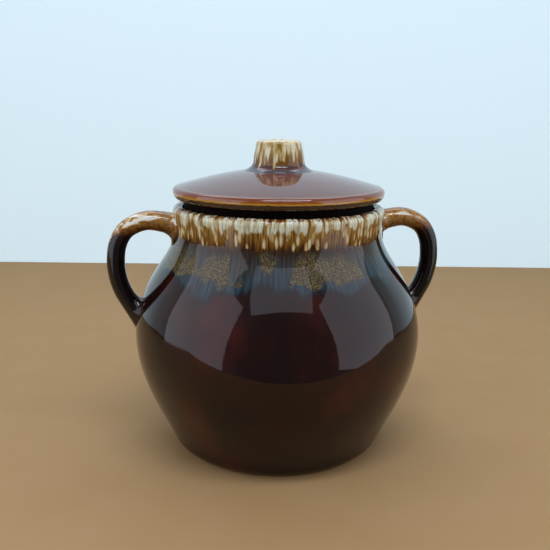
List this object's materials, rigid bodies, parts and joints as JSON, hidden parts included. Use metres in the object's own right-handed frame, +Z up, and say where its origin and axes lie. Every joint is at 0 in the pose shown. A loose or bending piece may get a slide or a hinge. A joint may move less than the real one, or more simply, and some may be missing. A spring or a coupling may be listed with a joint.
{
  "type": "lidded soup tureen",
  "caption": "Round-bellied glazed stoneware soup tureen with a short collar, loop handles and a loose domed lid with a drum-shaped knob.",
  "frame": {"origin": "centre of the foot on the table", "axes": "+Z up along the pot's turned axis, X from handle to handle, +Y away from the viewer who sees it from the front"},
  "size_m": [0.1978, 0.168, 0.1788],
  "materials": {
    "pot_glaze": "glossy dark brown glaze with a cream drip glaze round the collar",
    "handle_glaze": "glossy dark brown glaze with cream on top",
    "lid_glaze": "glossy red-brown glaze that breaks to amber at the edge",
    "knob_glaze": "glossy cream drip glaze over brown"
  },
  "bodies": {
    "pot": {"pot_body": "pot_glaze", "left_handle": "handle_glaze", "right_handle": "handle_glaze"},
    "lid": {"lid_dome": "lid_glaze", "lid_seat_ring": "lid_glaze", "lid_knob": "knob_glaze"}
  },
  "joints": [
    {"name": "lid_lift", "type": "slide", "parent": "pot", "child": "lid", "axis": [0, 0, 1], "range_m": [0, 0.08]}
  ]
}
